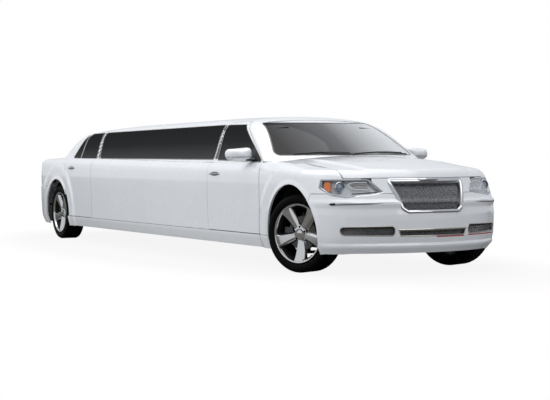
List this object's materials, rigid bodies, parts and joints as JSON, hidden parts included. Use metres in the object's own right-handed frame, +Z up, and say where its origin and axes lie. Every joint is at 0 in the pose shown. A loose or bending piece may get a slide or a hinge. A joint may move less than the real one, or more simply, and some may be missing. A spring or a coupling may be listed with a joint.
{
  "type": "stretch limousine",
  "caption": "Stretched four-door limousine on five-spoke wheels, with steering front wheels, opening doors, hood and boot lid.",
  "frame": {"origin": "on the ground at mid-length, on the car's centreline", "axes": "+X to the car's front, +Y to its left, +Z up"},
  "size_m": [8.6001, 2.2768, 1.47],
  "materials": {
    "paint": "gloss",
    "chrome": "polished",
    "mesh": "satin",
    "lamp": "clear gloss",
    "red_lens": "gloss",
    "glass": "dark tint",
    "underbody": "matte",
    "liner": "matte",
    "casting": "as cast",
    "exhaust_steel": "satin",
    "trim": "matte",
    "leather": "satin",
    "cabinet": "gloss",
    "wheel_chrome": "polished",
    "tyre": "matte"
  },
  "bodies": {
    "body": {"headlamps": "lamp", "tail_lamps": "red_lens", "grille_surround": "chrome", "grille_mesh": "mesh", "front_bumper": "paint", "nose_panel": "paint", "windscreen": "glass", "rear_window": "glass", "front_fenders": "paint", "cowl": "paint", "sills": "paint", "rear_bumper": "paint", "side_panels": "paint", "side_windows": "glass", "rear_quarters": "paint", "roof": "paint", "floor_pan": "underbody", "rear_bulkhead": "underbody", "boot_floor": "underbody", "parcel_shelf": "trim", "wheel_liners": "liner", "front_subframe": "underbody", "engine": "casting", "radiator": "casting", "rear_subframe": "underbody", "propeller_shaft": "underbody", "exhaust": "exhaust_steel", "dashboard": "trim", "steering_wheel": "trim", "front_seats": "leather", "partition": "trim", "lounge_seats": "leather", "bar_cabinet": "cabinet"},
    "front_door_L": {"front_door_L": "paint", "front_glass_L": "glass", "mirror_L": "paint"},
    "front_door_R": {"front_door_R": "paint", "front_glass_R": "glass", "mirror_R": "paint"},
    "rear_door_L": {"rear_door_L": "paint", "rear_glass_L": "glass"},
    "rear_door_R": {"rear_door_R": "paint", "rear_glass_R": "glass"},
    "hood": {"hood": "paint"},
    "boot_lid": {"boot_lid": "paint"},
    "knuckle_L": {"knuckle_L": "casting"},
    "knuckle_R": {"knuckle_R": "casting"},
    "wheel_front_L": {"rim_front_L": "wheel_chrome", "tyre_front_L": "tyre"},
    "wheel_front_R": {"rim_front_R": "wheel_chrome", "tyre_front_R": "tyre"},
    "wheel_rear_L": {"rim_rear_L": "wheel_chrome", "tyre_rear_L": "tyre"},
    "wheel_rear_R": {"rim_rear_R": "wheel_chrome", "tyre_rear_R": "tyre"}
  },
  "joints": [
    {"name": "steer_L", "type": "hinge", "parent": "body", "child": "knuckle_L", "pos_m": [3.42, 0.805, 0.352], "axis": [0, 0, 1], "range_deg": [-58, 13]},
    {"name": "spin_front_L", "type": "hinge", "parent": "knuckle_L", "child": "wheel_front_L", "pos_m": [3.42, 0.805, 0.352], "axis": [-0.3859, 0.9225, 0], "continuous": true},
    {"name": "spin_rear_L", "type": "hinge", "parent": "body", "child": "wheel_rear_L", "pos_m": [-3.188, 0.81, 0.352], "axis": [0, 1, 0], "continuous": true},
    {"name": "front_door_L_hinge", "type": "hinge", "parent": "body", "child": "front_door_L", "pos_m": [2.78, 0.943, 0.65], "axis": [0, 0, -1], "range_deg": [0, 68]},
    {"name": "rear_door_L_hinge", "type": "hinge", "parent": "body", "child": "rear_door_L", "pos_m": [-1.88, 0.943, 0.65], "axis": [0, 0, -1], "range_deg": [0, 68]},
    {"name": "steer_R", "type": "hinge", "parent": "body", "child": "knuckle_R", "pos_m": [3.42, -0.805, 0.352], "axis": [0, 0, 1], "range_deg": [-58, 13]},
    {"name": "spin_front_R", "type": "hinge", "parent": "knuckle_R", "child": "wheel_front_R", "pos_m": [3.42, -0.805, 0.352], "axis": [-0.3859, 0.9225, 0], "continuous": true},
    {"name": "spin_rear_R", "type": "hinge", "parent": "body", "child": "wheel_rear_R", "pos_m": [-3.188, -0.81, 0.352], "axis": [0, 1, 0], "continuous": true},
    {"name": "front_door_R_hinge", "type": "hinge", "parent": "body", "child": "front_door_R", "pos_m": [2.78, -0.943, 0.65], "axis": [0, 0, 1], "range_deg": [0, 68]},
    {"name": "rear_door_R_hinge", "type": "hinge", "parent": "body", "child": "rear_door_R", "pos_m": [-1.88, -0.943, 0.65], "axis": [0, 0, 1], "range_deg": [0, 68]},
    {"name": "hood_hinge", "type": "hinge", "parent": "body", "child": "hood", "pos_m": [2.892, 0, 0.996], "axis": [0, -1, 0], "range_deg": [0, 55]},
    {"name": "boot_lid_hinge", "type": "hinge", "parent": "body", "child": "boot_lid", "pos_m": [-3.415, 0, 1.078], "axis": [0, 1, 0], "range_deg": [0, 70]}
  ],
  "couplings": [
    {"joint": "steer_R", "follows": "steer_L", "ratio": 1}
  ]
}
